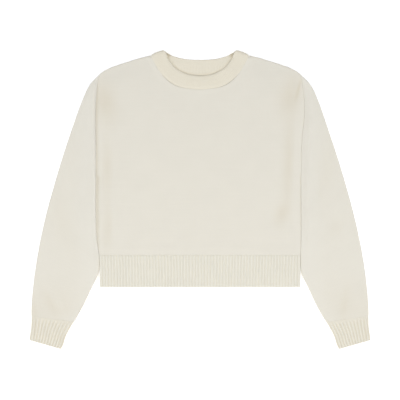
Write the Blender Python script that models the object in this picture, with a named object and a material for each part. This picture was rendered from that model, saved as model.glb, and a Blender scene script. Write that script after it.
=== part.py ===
"""Cropped knit sweater, laid flat with its front up and both sleeves brought down beside the body.

Metres, +Z up, with the neck towards +Y. The origin is the middle of the outline, on the surface below.
A place on the sweater is given by two sizes: `across`, from its centre line, and `up`, from the hem's edge.
`out` is the same as `across` with no sign, for what both sides share.
"""

from functools import partial
from typing import NamedTuple

import bmesh
import bpy
import numpy as np

# Cloth
WALL = 0.0020
RIB_GROOVE_WALL = 0.0018
RIB_RELIEF = 0.0010
BAND_WALL = 0.0036
SEAM_GAP = 0.0003
NECK_SEAM_GAP = 0.0004
EDGE_ROUND = 0.0025
EDGE_DROP = 0.0008

# Body
HEM_HALF = 0.210
HEM_RIB_UP = 0.067
HEM_RIBS = 67
BACK_RIB_WALL = 0.0026
UNDERARM_UP = 0.233
SHOULDER_TIP_UP = 0.446
NECK_TOP_UP = 0.4948
CUFF_END_UP = -0.1298
ORIGIN_UP = (NECK_TOP_UP + CUFF_END_UP) / 2

# How the front rises from its seams
RIB_STEP = 0.0006
PILLOW = 0.0012
SIDE_SLOPE = 0.022
SHOULDER_SLOPE = 0.045
HEM_SLOPE = 0.050
BLOUSE = 0.0008
BLOUSE_UP = 0.013
BLOUSE_SPREAD = 0.011
RIB_DRAW_IN = 0.025

# Sleeves
SLEEVE_FLAT = 0.0046
SLEEVE_PILLOW = 0.0010
SLEEVE_SLOPE = 0.25
LEAST_SLEEVE_WIDTH = 0.020
RIDGE = 0.0046
RIDGE_SPREAD = 0.055
RIDGE_SHOULDER_FADE = 0.060
RIDGE_CUFF_FADE = 0.060

# How a sleeve turns down to its seam along the armhole, and where that begins above the underarm
SEAM_TOP = 2 * WALL + SEAM_GAP
SEAM_TURN = 0.0045
SEAM_LOW = 0.225
SEAM_BLEND = 0.016

# Cuffs
CUFF_RIBS = 11
CUFF_FLAT = 0.0046

# Where a rib's four corners lie in its pitch, and which of them stand out
HEM_RIB_CORNERS = (0.10, 0.30, 0.60, 0.80)
CUFF_RIB_CORNERS = (0.10, 0.35, 0.65, 0.90)
RIB_CORNER_RELIEF = (0.0, 1.0, 1.0, 0.0)

# Faces are smooth up to this angle between them
SHARP_ANGLE = np.radians(40)

# Colours, linear
JERSEY_COLOUR = (0.783, 0.752, 0.665, 1.0)
RIB_COLOUR = (0.791, 0.760, 0.658, 1.0)
BAND_COLOUR = (0.768, 0.723, 0.610, 1.0)
KNIT_ROUGHNESS = 0.9


class SideLine(NamedTuple):
    """How far out a sleeve meets the body, and below the hem the sleeve's inner edge."""

    up: float
    left: float
    right: float


SIDE_LINE = [
    SideLine(-0.084, 0.2718, 0.2718),
    SideLine(-0.073, 0.2646, 0.2646),
    SideLine(-0.062, 0.2578, 0.2578),
    SideLine(-0.045, 0.2481, 0.2481),
    SideLine(-0.012, 0.2320, 0.2320),
    SideLine(0.005, 0.2240, 0.2240),
    SideLine(0.020, 0.2165, 0.2165),
    SideLine(0.031, 0.2122, 0.2120),
    SideLine(0.046, 0.2107, 0.2107),
    SideLine(0.067, 0.2112, 0.2107),
    SideLine(0.100, 0.2160, 0.2117),
    SideLine(0.140, 0.2178, 0.2120),
    SideLine(0.245, 0.2180, 0.2120),
    SideLine(0.287, 0.2180, 0.2127),
    SideLine(0.315, 0.2184, 0.2142),
    SideLine(0.350, 0.2188, 0.2165),
    SideLine(0.385, 0.2181, 0.2175),
    SideLine(0.415, 0.2157, 0.2158),
    SideLine(SHOULDER_TIP_UP, 0.2110, 0.2110),
]


class OuterEdge(NamedTuple):
    """The sleeve's outer fold, from the cuff to the shoulder."""

    up: float
    out: float


OUTER_EDGE = [
    OuterEdge(-0.068, 0.3533),
    OuterEdge(-0.045, 0.3534),
    OuterEdge(-0.012, 0.3510),
    OuterEdge(0.039, 0.3450),
    OuterEdge(0.089, 0.3365),
    OuterEdge(0.156, 0.3215),
    OuterEdge(0.223, 0.3030),
    OuterEdge(0.291, 0.2820),
    OuterEdge(0.341, 0.2650),
    OuterEdge(0.375, 0.2525),
    OuterEdge(0.400, 0.2420),
    OuterEdge(0.417, 0.2345),
    OuterEdge(0.430, 0.2265),
    OuterEdge(0.440, 0.2180),
    OuterEdge(0.4465, 0.2110),
]


class ShoulderPoint(NamedTuple):
    """The top edge of both panels. The first row carries its line on over the neck."""

    out: float
    up: float


SHOULDER = [
    ShoulderPoint(0.000, 0.5100),
    ShoulderPoint(0.103, 0.4855),
    ShoulderPoint(0.121, 0.4815),
    ShoulderPoint(0.146, 0.4740),
    ShoulderPoint(0.171, 0.4660),
    ShoulderPoint(0.190, 0.4590),
    ShoulderPoint(0.203, 0.4520),
    ShoulderPoint(0.2112, 0.4462),
]

# Where the panels' columns meet the shoulder's edge, and how their rows share out a column's height
FRONT_SHOULDER_OUTS = (0.1030, 0.1180, 0.1350, 0.1520, 0.1690, 0.1840, 0.1960, 0.2045, 0.2087, 0.2112)
BACK_SHOULDER_OUTS = (0.1030, 0.1350, 0.1690, 0.1960, 0.2112)
PANEL_ROWS = np.array(
    (0, 0.007, 0.03, 0.06, 0.10, 0.15, 0.21, 0.27, 0.33, 0.40, 0.47)
    + (0.54, 0.61, 0.68, 0.75, 0.82, 0.88, 0.93, 0.97, 0.993, 1)
)


class NeckSection(NamedTuple):
    """One section of the neckband: its free edge, its sewn edge, its turn and its crown.

    The turn is 0 on the front layer, 90 on top of the fold and 180 on the back layer.
    The crown is how far the band's middle stands above the line between its two edges.
    """

    free_out: float
    free_up: float
    seam_out: float
    seam_up: float
    turn: float
    crown: float


FRONT_NECK = [
    NeckSection(0.0000, 0.4440, 0.0000, 0.4140, 0, 0),
    NeckSection(0.0140, 0.4448, 0.0220, 0.4155, 0, 0),
    NeckSection(0.0290, 0.4480, 0.0420, 0.4190, 0, 0),
    NeckSection(0.0400, 0.4525, 0.0550, 0.4245, 0, 0),
    NeckSection(0.0500, 0.4605, 0.0660, 0.4320, 0, 0),
    NeckSection(0.0590, 0.4710, 0.0795, 0.4450, 0, 0),
    NeckSection(0.0660, 0.4830, 0.0920, 0.4640, 0, 0.0010),
    NeckSection(0.0705, 0.4910, 0.1015, 0.4825, 0, 0.0030),
]
NECK_FOLD = [
    NeckSection(0.0705, 0.4910, 0.1015, 0.4825, 45, 0.0030),
    NeckSection(0.0705, 0.4910, 0.1015, 0.4825, 90, 0.0030),
    NeckSection(0.0705, 0.4910, 0.1015, 0.4825, 135, 0.0030),
]
BACK_NECK = [
    NeckSection(0.0705, 0.4910, 0.1015, 0.4825, 180, 0.0030),
    NeckSection(0.0580, 0.4850, 0.0840, 0.4660, 180, 0.0010),
    NeckSection(0.0450, 0.4810, 0.0580, 0.4540, 180, 0),
    NeckSection(0.0300, 0.4785, 0.0300, 0.4490, 180, 0),
    NeckSection(0.0000, 0.4772, 0.0000, 0.4475, 180, 0),
]


class BandRound(NamedTuple):
    """The neckband's thickness, as a share of its wall, at a share of its width from the free edge."""

    width_share: float
    thickness_share: float


BAND_PROFILE = [
    BandRound(0.00, 0.35),
    BandRound(0.07, 0.92),
    BandRound(0.22, 1.00),
    BandRound(0.50, 1.00),
    BandRound(0.78, 1.00),
    BandRound(0.93, 0.85),
    BandRound(1.00, 0.40),
]


class SleeveRow(NamedTuple):
    """A ring of the sleeve: where it meets the outer fold, where it meets the inner one, and its bow.

    The bow is 1 on the ring that follows the armhole's curve and 0 on a straight ring.
    """

    outer_up: float
    inner_up: float
    bow: float


SLEEVE_ROWS = [
    SleeveRow(0.444, UNDERARM_UP, 1.00),
    SleeveRow(0.441, 0.2305, 0.94),
    SleeveRow(0.436, 0.226, 0.85),
    SleeveRow(0.424, 0.217, 0.65),
    SleeveRow(0.406, 0.205, 0.45),
    SleeveRow(0.383, 0.191, 0.25),
    SleeveRow(0.355, 0.175, 0.10),
    SleeveRow(0.323, 0.157, 0),
    SleeveRow(0.288, 0.138, 0),
    SleeveRow(0.250, 0.117, 0),
    SleeveRow(0.211, 0.095, 0),
    SleeveRow(0.171, 0.072, 0),
    SleeveRow(0.131, 0.049, 0),
    SleeveRow(0.095, 0.030, 0),
    SleeveRow(0.062, 0.012, 0),
    SleeveRow(0.033, -0.008, 0),
    SleeveRow(0.008, -0.026, 0),
    SleeveRow(-0.013, -0.042, 0),
    SleeveRow(-0.030, -0.0545, 0),
    SleeveRow(-0.0465, -0.0640, 0),
    SleeveRow(-0.0607, -0.0723, 0),
]

# How the points of a ring share out its width between the two folds, and the turns round each fold
SLEEVE_RING = np.array((0.05, 0.11, 0.19, 0.29, 0.40, 0.52, 0.64, 0.76, 0.88))
CUFF_UNDERSIDE = np.array((0.25, 0.5, 0.75))
FOLD_TURNS = np.radians((-90, -45, 0, 45, 90))


class HemRow(NamedTuple):
    """A row across the hem: its height, its share of the rib's relief, and how far it drops."""

    up: float
    relief: float
    drop: float


HEM_ROWS = [
    HemRow(0.0, 0.25, EDGE_DROP),
    HemRow(EDGE_ROUND, 1.0, 0.0),
    HemRow(HEM_RIB_UP - EDGE_ROUND, 1.0, 0.0),
    HemRow(HEM_RIB_UP, 0.5, EDGE_DROP / 2),
]


class CuffRow(NamedTuple):
    """A ring of the cuff: its outer and inner edges, and how much of the rib's relief it has."""

    outer_out: float
    outer_up: float
    inner_out: float
    inner_up: float
    relief: float


CUFF_ROWS = [
    CuffRow(0.3532, -0.0611, 0.2645, -0.0727, 0.3),
    CuffRow(0.3532, -0.0640, 0.2667, -0.0757, 1.0),
    CuffRow(0.3533, -0.0755, 0.2743, -0.0886, 1.0),
    CuffRow(0.3543, -0.0890, 0.2820, -0.1040, 1.0),
    CuffRow(0.3569, -0.1065, 0.2886, -0.1240, 1.0),
    CuffRow(0.3570, -0.1112, 0.2920, -0.1298, 0.2),
]


class Fold(NamedTuple):
    """A soft ridge, or a trough where its height is under 0. It lies `turn` degrees from upright."""

    across: float
    up: float
    length: float
    width: float
    turn: float
    height: float


BODY_FOLDS = [
    Fold(-0.194, 0.246, 0.055, 0.012, 0, -0.0007),
    Fold(-0.192, 0.125, 0.050, 0.012, 3, -0.0006),
    Fold(-0.172, 0.190, 0.090, 0.014, 2, 0.0005),
    Fold(-0.188, 0.385, 0.040, 0.022, -12, -0.0008),
    Fold(0.186, 0.262, 0.085, 0.011, 3, -0.0008),
    Fold(0.171, 0.154, 0.022, 0.014, 20, -0.0008),
    Fold(0.200, 0.250, 0.080, 0.009, 0, 0.0005),
    Fold(0.184, 0.397, 0.036, 0.022, 14, -0.0008),
    Fold(-0.060, 0.300, 0.070, 0.050, 30, 0.0003),
    Fold(0.070, 0.200, 0.080, 0.045, -25, 0.0003),
]

SLEEVE_FOLDS = [
    Fold(-0.311, -0.035, 0.030, 0.009, -28, -0.0009),
    Fold(-0.281, -0.044, 0.014, 0.012, 0, -0.0006),
    Fold(-0.296, -0.028, 0.028, 0.009, -28, 0.0005),
    Fold(-0.290, 0.140, 0.070, 0.018, -16, -0.0005),
    Fold(0.303, -0.036, 0.034, 0.009, 8, -0.0009),
    Fold(0.320, -0.034, 0.030, 0.010, 10, 0.0005),
    Fold(0.283, 0.124, 0.016, 0.014, 0, -0.0006),
    Fold(0.262, 0.240, 0.070, 0.016, 14, -0.0005),
]


def column(table, name):
    """One column of a table, as an array."""
    return np.array([getattr(row, name) for row in table])


def rise(share):
    """0 up to 0, 1 from 1 on, and a smooth step between them."""
    share = np.clip(share, 0, 1)
    return share * share * (3 - 2 * share)


def smooth_through(knots, values, at):
    """The value at `at` on a curve through every knot, whose slope is even on both sides of each."""
    slopes = np.gradient(values, knots)
    low = np.clip(np.searchsorted(knots, at) - 1, 0, len(knots) - 2)
    span = knots[low + 1] - knots[low]
    share = np.clip((at - knots[low]) / span, 0, 1)
    start = (1 + 2 * share) * (1 - share) ** 2 * values[low]
    leave = share * (1 - share) ** 2 * span * slopes[low]
    end = share**2 * (3 - 2 * share) * values[low + 1]
    arrive = share**2 * (share - 1) * span * slopes[low + 1]
    return start + leave + end + arrive


def side_line(up, side):
    """How far out the sleeve begins at a height, on the left (-1) or the right (+1)."""
    name = "right" if side > 0 else "left"
    return smooth_through(column(SIDE_LINE, "up"), column(SIDE_LINE, name), up)


def outer_edge(up):
    """How far out the sleeve's outer fold lies at a height."""
    return smooth_through(column(OUTER_EDGE, "up"), column(OUTER_EDGE, "out"), up)


def shoulder_up(out):
    """The height of the shoulder's edge."""
    return smooth_through(column(SHOULDER, "out"), column(SHOULDER, "up"), out)


def body_half(up, side):
    """Half the body's width: it ends a seam's gap from the sleeve and is drawn in to the rib."""
    line = side_line(up, side) - SEAM_GAP
    drawn = side_line(HEM_RIB_UP, side) - SEAM_GAP - HEM_HALF
    return line - drawn * (1 - rise((up - HEM_RIB_UP) / RIB_DRAW_IN))


def body_half_at(across, up):
    """Half the body's width at a height, on the side where `across` lies."""
    return np.where(across < 0, body_half(up, -1), body_half(up, 1))


def folds_at(folds, across, up):
    """The height that folds add: each is a bell along its own line and across it."""
    total = np.zeros(np.broadcast(across, up).shape)
    for fold in folds:
        turn = np.radians(fold.turn)
        aside, above = across - fold.across, up - fold.up
        along = aside * np.sin(turn) + above * np.cos(turn)
        beside = aside * np.cos(turn) - above * np.sin(turn)
        total += fold.height * np.exp(-((along / fold.length) ** 2) - (beside / fold.width) ** 2)
    return total


def front_inside(across, up):
    """Height of the front panel's inner face, which rises from the seams over the back panel."""
    from_side = rise((body_half_at(across, up) - np.abs(across)) / SIDE_SLOPE)
    from_shoulder = rise((shoulder_up(np.abs(across)) - up) / SHOULDER_SLOPE)
    from_hem = rise((up - HEM_RIB_UP) / HEM_SLOPE)
    blouse = BLOUSE * np.exp(-(((up - HEM_RIB_UP - BLOUSE_UP) / BLOUSE_SPREAD) ** 2))
    lift = from_shoulder * (RIB_STEP + PILLOW * from_hem + folds_at(BODY_FOLDS, across, up)) + blouse
    return WALL + SEAM_GAP + from_side * lift


def place(across, up, height):
    """World points for places on the sweater."""
    return np.stack(np.broadcast_arrays(across, up - ORIGIN_UP, height), axis=-1)


def add_skin(mesh, points, closed_along, closed_round):
    """Faces over a grid of points, rows along and columns round. Returns its grid of vertices."""
    skin = [[mesh.verts.new(point) for point in row] for row in points]
    rows, columns = points.shape[:2]
    for i in range(rows if closed_along else rows - 1):
        below, above = skin[i], skin[(i + 1) % rows]
        for j in range(columns if closed_round else columns - 1):
            right = (j + 1) % columns
            mesh.faces.new((below[j], below[right], above[right], above[j]))
    return skin


def add_rim(mesh, outer, inner, closed):
    """Faces that join the edge of one skin to the edge of the other."""
    for j in range(len(outer) if closed else len(outer) - 1):
        right = (j + 1) % len(outer)
        mesh.faces.new((outer[j], outer[right], inner[right], inner[j]))


def add_wall(name, outer_points, inner_points, material, closed_along=False, closed_round=False):
    """A wall of cloth between two grids of points. Its rims close it where the grids end."""
    mesh = bmesh.new()
    outer = add_skin(mesh, outer_points, closed_along, closed_round)
    inner = add_skin(mesh, inner_points, closed_along, closed_round)
    if not closed_along:
        for end in (0, -1):
            add_rim(mesh, outer[end], inner[end], closed_round)
    if not closed_round:
        for end in (0, -1):
            edges = [[row[end] for row in skin] for skin in (outer, inner)]
            add_rim(mesh, *edges, closed_along)
    return add_object(name, mesh, material)


def add_object(name, mesh, material):
    """A scene object from a closed bmesh, with its faces pointing out and its rounds smooth."""
    bmesh.ops.recalc_face_normals(mesh, faces=mesh.faces)
    data = bpy.data.meshes.new(name)
    mesh.to_mesh(data)
    mesh.free()
    data.shade_smooth()
    data.set_sharp_from_angle(angle=SHARP_ANGLE)
    data.materials.append(material)
    made = bpy.data.objects.new(name, data)
    bpy.context.scene.collection.objects.link(made)
    return made


def knit_material(name, colour):
    """A matt cotton finish."""
    material = bpy.data.materials.new(name)
    material.use_nodes = True
    shader = material.node_tree.nodes["Principled BSDF"]
    shader.inputs["Base Color"].default_value = colour
    shader.inputs["Roughness"].default_value = KNIT_ROUGHNESS
    shader.inputs["Metallic"].default_value = 0
    material.diffuse_color = colour
    return material


def moved_out(outs, ups, distance):
    """A line moved sideways by a distance, away from the neck. It starts level at the centre line."""
    slope_out, slope_up = np.gradient(outs), np.gradient(ups)
    slope_up[0] = 0
    length = np.hypot(slope_out, slope_up)
    return outs + distance * slope_up / length, ups - distance * slope_out / length


def panel_top(neck, shoulder_outs):
    """Where half a panel's columns end: along the neck's seam, then along the shoulder."""
    outs, ups = column(neck, "seam_out"), column(neck, "seam_up")
    order = np.argsort(outs)
    neck_outs, neck_ups = moved_out(outs[order], ups[order], NECK_SEAM_GAP)
    outs = np.concatenate([neck_outs, shoulder_outs])
    ups = np.concatenate([neck_ups, shoulder_up(np.array(shoulder_outs))])
    return outs, ups


def panel_places(outs, tops):
    """The grid of (across, up) over a panel, from the hem rib to its top edge."""
    across = np.concatenate([-outs[:0:-1], outs])
    tops = np.concatenate([tops[:0:-1], tops])
    low = HEM_RIB_UP + SEAM_GAP
    up = low + (tops - low) * PANEL_ROWS[:, None]
    return across / outs[-1] * body_half_at(across, up), up


def eased_rim(rows, columns):
    """How far a panel's outer face drops: only along its rim."""
    drop = np.full((rows, columns), EDGE_DROP)
    drop[1:-1, 1:-1] = 0
    return drop


def add_front_panel():
    """The front: scooped at the neck, lying over the back."""
    across, up = panel_places(*panel_top(FRONT_NECK, FRONT_SHOULDER_OUTS))
    inside = front_inside(across, up)
    outer = place(across, up, inside + WALL - eased_rim(*across.shape))
    inner = place(across, up, inside)
    return add_wall("front_panel", outer, inner, knit_material("front_jersey", JERSEY_COLOUR))


def add_back_panel():
    """The back: it rests flat, and its neck is shallow."""
    across, up = panel_places(*panel_top(BACK_NECK, BACK_SHOULDER_OUTS))
    outer = place(across, up, 0.0)
    inner = place(across, up, WALL)
    return add_wall("back_panel", outer, inner, knit_material("back_jersey", JERSEY_COLOUR))


def rib_line(start, end, ribs, corners):
    """The places of the ribs' corners between two ends, and the share of the relief at each."""
    pitch = (end - start) / ribs
    places = start + pitch * (np.arange(ribs)[:, None] + np.array(corners))
    return places.ravel(), np.tile(RIB_CORNER_RELIEF, ribs)


def add_front_hem_rib():
    """The front's hem: a bar outside for each rib, eased at both ends, over a flat inside."""
    across, relief = rib_line(-HEM_HALF, HEM_HALF, HEM_RIBS, HEM_RIB_CORNERS)
    across = np.concatenate([[-HEM_HALF], across, [HEM_HALF]])
    relief = np.concatenate([[0.0], relief, [0.0]])
    side_drop = np.zeros(len(across))
    side_drop[[0, -1]] = EDGE_DROP / 2
    inside = BACK_RIB_WALL + SEAM_GAP
    up = column(HEM_ROWS, "up")[:, None]
    groove = inside + RIB_GROOVE_WALL - column(HEM_ROWS, "drop")[:, None] - side_drop
    height = groove + RIB_RELIEF * column(HEM_ROWS, "relief")[:, None] * relief
    mesh = bmesh.new()
    skin = add_skin(mesh, place(across, up, height), False, False)
    ends = np.array((-HEM_HALF, HEM_HALF))
    low = [mesh.verts.new(point) for point in place(ends, HEM_ROWS[0].up, inside)]
    high = [mesh.verts.new(point) for point in place(ends, HEM_ROWS[-1].up, inside)]
    mesh.faces.new((*low, high[1], high[0]))
    mesh.faces.new((*skin[0], low[1], low[0]))
    mesh.faces.new((*skin[-1], high[1], high[0]))
    mesh.faces.new((*(row[0] for row in skin), high[0], low[0]))
    mesh.faces.new((*(row[-1] for row in skin), high[1], low[1]))
    return add_object("hem_rib_front", mesh, knit_material("front_rib", RIB_COLOUR))


def add_back_hem_rib():
    """The back's hem: it rests on the face of its ribs, which lie flat."""
    across = np.linspace(-HEM_HALF, HEM_HALF, 5)
    up = np.linspace(0, HEM_RIB_UP, 3)[:, None]
    outer = place(across, up, 0.0)
    inner = place(across, up, BACK_RIB_WALL)
    return add_wall("hem_rib_back", outer, inner, knit_material("back_rib", RIB_COLOUR))


class Ring(NamedTuple):
    """A line of points round a tube: where each is, and how high."""

    places: np.ndarray
    heights: np.ndarray


def flat_ring(outer_end, inner_end, top_shares, under_shares, height_at, cut):
    """A ring round a flattened tube: inner fold, top, outer fold and underside.

    Each end is (out, up). Both folds are half rounds as high as the tube is there. `cut` is 0 for the
    outside of the cloth and its thickness for the inside.
    """
    length = np.hypot(*(outer_end - inner_end))
    along = (outer_end - inner_end) / length
    first = height_at(*(inner_end + along * EDGE_ROUND)) / 2
    last = height_at(*(outer_end - along * EDGE_ROUND)) / 2
    near = first - (first - cut) * np.cos(FOLD_TURNS)
    near_height = first + (first - cut) * np.sin(FOLD_TURNS)
    far = length - last + (last - cut) * np.cos(FOLD_TURNS)
    far_height = last + (last - cut) * np.sin(FOLD_TURNS)
    top = first + (length - first - last) * top_shares
    under = first + (length - first - last) * under_shares
    top_height = height_at(*(inner_end + along * top[:, None]).T) - cut
    reach = np.concatenate([near, top, far[::-1], under[::-1]])
    heights = [near_height, top_height, far_height[::-1], np.full(len(under), cut)]
    return Ring(inner_end + along * reach[:, None], np.concatenate(heights))


def armhole_shift(up, bow, side):
    """How far a ring moves sideways to the armhole's curve: the share `bow` of its way there."""
    top_up, low_up = SLEEVE_ROWS[0].outer_up, SLEEVE_ROWS[0].inner_up
    share = (up - low_up) / (top_up - low_up)
    low_out = side_line(low_up, side)
    straight = low_out + (outer_edge(top_up) - low_out) * share
    beside_armhole = (share > 0) & (share < 1)
    return np.where(beside_armhole, bow * (side_line(up, side) - straight), 0)


def seam_turned(height, beside, up):
    """A sleeve's height, turned down to its seam by a quarter of an ellipse along the armhole."""
    inward = 1 - np.clip(beside / SEAM_TURN, 0, 1)
    at_seam = rise((up - SEAM_LOW) / SEAM_BLEND) * (1 - np.sqrt(1 - inward * inward))
    return height - at_seam * (height - SEAM_TOP)


def sleeve_height(out, up, bow, side):
    """Height of a sleeve's upper face: low at its folds, with a ridge along the body's side."""
    out = out + armhole_shift(up, bow, side)
    line, edge = side_line(up, side), outer_edge(up)
    share = np.clip((out - line) / np.maximum(edge - line, LEAST_SLEEVE_WIDTH), 0, 1)
    pillow = rise(np.minimum(share, 1 - share) / SLEEVE_SLOPE)
    shoulder_fade = rise((SHOULDER_TIP_UP - up) / RIDGE_SHOULDER_FADE)
    cuff_fade = rise(1 + up / RIDGE_CUFF_FADE)
    ridge = RIDGE * shoulder_fade * cuff_fade * (1 - rise((out - line) / RIDGE_SPREAD))
    folds = folds_at(SLEEVE_FOLDS, side * out, up)
    height = SLEEVE_FLAT + ridge + pillow * (SLEEVE_PILLOW + folds)
    return seam_turned(height, out - line, up)


def bowed(ring, bow, side):
    """A ring moved towards the armhole's curve."""
    shift = armhole_shift(ring.places[:, 1], bow, side)
    return Ring(ring.places + np.stack([shift, np.zeros(len(shift))], axis=1), ring.heights)


def ring_points(rings, side):
    """The grid of world points of a tube's rings."""
    return np.array([place(side * ring.places[:, 0], ring.places[:, 1], ring.heights) for ring in rings])


def add_sleeve(name, side):
    """A sleeve: a flattened tube from the armhole's curve to the cuff, its rings fanned out."""
    skins = []
    for cut in (0.0, WALL):
        rings = []
        for row in SLEEVE_ROWS:
            outer_end = np.array((outer_edge(row.outer_up), row.outer_up))
            inner_end = np.array((side_line(row.inner_up, side), row.inner_up))
            height_at = partial(sleeve_height, bow=row.bow, side=side)
            ring = flat_ring(outer_end, inner_end, SLEEVE_RING, SLEEVE_RING, height_at, cut)
            rings.append(bowed(ring, row.bow, side))
        skins.append(ring_points(rings, side))
    return add_wall(name, *skins, knit_material(name + "_jersey", JERSEY_COLOUR), closed_round=True)


def cuff_height(out, _up):
    """Height of a cuff's upper face, down in its grooves."""
    return np.full(np.shape(out), CUFF_FLAT)


def add_cuff(name, side):
    """A cuff: a flattened tube, ribbed along its length over a plain inside."""
    shares, relief = rib_line(0.0, 1.0, CUFF_RIBS, CUFF_RIB_CORNERS)
    top = slice(len(FOLD_TURNS), len(FOLD_TURNS) + len(shares))
    skins = []
    for cut in (0.0, WALL):
        rings = []
        for row in CUFF_ROWS:
            outer_end = np.array((row.outer_out, row.outer_up))
            inner_end = np.array((row.inner_out, row.inner_up))
            ring = flat_ring(outer_end, inner_end, shares, CUFF_UNDERSIDE, cuff_height, cut)
            if not cut:
                ring.heights[top] += RIB_RELIEF * row.relief * relief
            rings.append(ring)
        skins.append(ring_points(rings, side))
    return add_wall(name, *skins, knit_material(name + "_rib", RIB_COLOUR), closed_round=True)


def band_points(section, side, skin):
    """One section of the neckband, on its outer face (skin 1) or its inner one (skin -1)."""
    turn = np.radians(section.turn)
    share = column(BAND_PROFILE, "width_share")
    half_wall = skin * BAND_WALL / 2 * column(BAND_PROFILE, "thickness_share")
    fold_radius = (BAND_WALL + SEAM_GAP) / 2
    fold_height = BAND_WALL + SEAM_GAP / 2
    across = section.free_out + (section.seam_out - section.free_out) * share
    up = section.free_up + (section.seam_up - section.free_up) * share
    up = up + section.crown * np.sin(np.pi * share)
    reach = fold_radius + half_wall
    return place(side * across, up + reach * np.sin(turn), fold_height + reach * np.cos(turn))


def add_neckband():
    """The neckband: one doubled band round the neck, its front half over its back half."""
    right = FRONT_NECK + NECK_FOLD + BACK_NECK
    left = right[-2:0:-1]
    sections = [(section, 1) for section in right] + [(section, -1) for section in left]
    skins = [np.array([band_points(*section, skin) for section in sections]) for skin in (1, -1)]
    return add_wall("neckband", *skins, knit_material("band_rib", BAND_COLOUR), closed_along=True)


def clear_scene():
    """Removes every object that the scene starts with."""
    for existing in list(bpy.data.objects):
        bpy.data.objects.remove(existing)


def main():
    """Builds the nine pieces."""
    clear_scene()
    add_back_panel()
    add_back_hem_rib()
    add_front_panel()
    add_front_hem_rib()
    add_neckband()
    for name, side in (("left", -1), ("right", 1)):
        add_sleeve("sleeve_" + name, side)
        add_cuff("cuff_" + name, side)


main()
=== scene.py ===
"""Looks of the cropped knit sweater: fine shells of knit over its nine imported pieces, in a plain studio.

Metres, +Z up, with the neck towards +Y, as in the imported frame. A place on the sweater is given by
`across`, from its centre line, and `up`, from the hem's edge. `out` is `across` with no sign.
"""

import logging
from dataclasses import dataclass
from enum import Enum
from typing import NamedTuple

import bpy
import numpy as np
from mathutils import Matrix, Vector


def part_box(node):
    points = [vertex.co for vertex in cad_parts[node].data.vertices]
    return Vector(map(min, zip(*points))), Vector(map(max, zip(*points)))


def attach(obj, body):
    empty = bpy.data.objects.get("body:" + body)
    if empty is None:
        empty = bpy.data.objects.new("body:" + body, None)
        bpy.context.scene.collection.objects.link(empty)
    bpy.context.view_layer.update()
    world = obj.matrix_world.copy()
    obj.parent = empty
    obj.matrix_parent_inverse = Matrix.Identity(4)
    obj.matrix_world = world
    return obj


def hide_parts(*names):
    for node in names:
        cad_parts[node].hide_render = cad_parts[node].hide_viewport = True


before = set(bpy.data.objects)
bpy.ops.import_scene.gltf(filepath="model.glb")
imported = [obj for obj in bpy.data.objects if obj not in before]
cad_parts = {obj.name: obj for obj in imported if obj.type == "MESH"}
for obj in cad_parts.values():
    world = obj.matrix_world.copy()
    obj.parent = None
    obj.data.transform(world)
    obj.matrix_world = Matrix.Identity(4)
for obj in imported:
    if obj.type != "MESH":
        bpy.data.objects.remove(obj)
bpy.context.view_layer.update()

Array = np.ndarray
Colour = tuple[float, float, float]
Rows = tuple[tuple[float, ...], ...]
Socket = bpy.types.NodeSocket
log = logging.getLogger("sweater")

BODY = "root"

# Cloth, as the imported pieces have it. The neckband thins to BAND_SEAM_THIN of its wall at its seam.
WALL = 0.0020
BAND_WALL = 0.0036
BACK_RIB_WALL = 0.0026
RIB_GROOVE_WALL = 0.0018
SEAM_GAP = 0.0003
CLOSE = 0.0001
SEAM_TOP = 2 * WALL + SEAM_GAP
BAND_SEAM_THIN = 0.55
BAND_SEAM_TOP = BAND_WALL * (1.5 + BAND_SEAM_THIN / 2) + SEAM_GAP

# Knit: a wale is a column of stitches, a course a row of them, and a 2x2 rib takes four wales
WALE = 0.00157
COURSE = 0.00125
RIB_WALES = 4

# Body
HEM_HALF = 0.210
HEM_RIB_UP = 0.067
HEM_RIBS = 67
SHOULDER_TIP_UP = 0.446
SHOULDER_TIP_OUT = 0.2112
ORIGIN_UP = -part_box("hem_rib_front")[0][1]

# Faces are smooth up to this angle between them
SHARP_ANGLE = np.radians(50)

# A trough of this depth takes the finish's whole painted groove shade
FULL_TROUGH = 0.0016

# What a rib keeps of its relief at the very edge of its piece
EDGE_RELIEF = 0.35

# Where the first points lie in a piece's rim, as shares of its width
RIM_STEPS = np.array((0.0, 0.08, 0.25, 0.55))

# A face whose knit places differ by more than this share of the whole map lies where a skin closes
MAP_JUMP = 1 / 3

# Shader noise, and the sockets of a colour Mix node: its factor and its two colours
NOISE_ROUGHNESS = 0.55
MIX_INPUTS = (0, 6, 7)
MIX_OUTPUT = 2


class Side(Enum):
    """The two sides of the sweater, by the sign of their X."""

    LEFT = -1
    RIGHT = 1


class Layer(Enum):
    """The two layers of the body, as the sweater lies."""

    BACK = "back"
    FRONT = "front"


class Slot(Enum):
    """The record's material slots."""

    JERSEY = "jersey"
    RIB = "rib"
    BAND = "neck_rib"


# ------------------------------ Curves and soft forms ------------------------------


def rise(share: Array) -> Array:
    """A smooth step of the share s: 0 up to 0, 1 from 1 on, and 3s^2 - 2s^3 between."""
    share = np.clip(share, 0, 1)
    return share * share * (3 - 2 * share)


def bell(distance: Array, width: float) -> Array:
    """A bell over a distance: e^-(distance / width)^2."""
    return np.exp(-((distance / width) ** 2))


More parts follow.
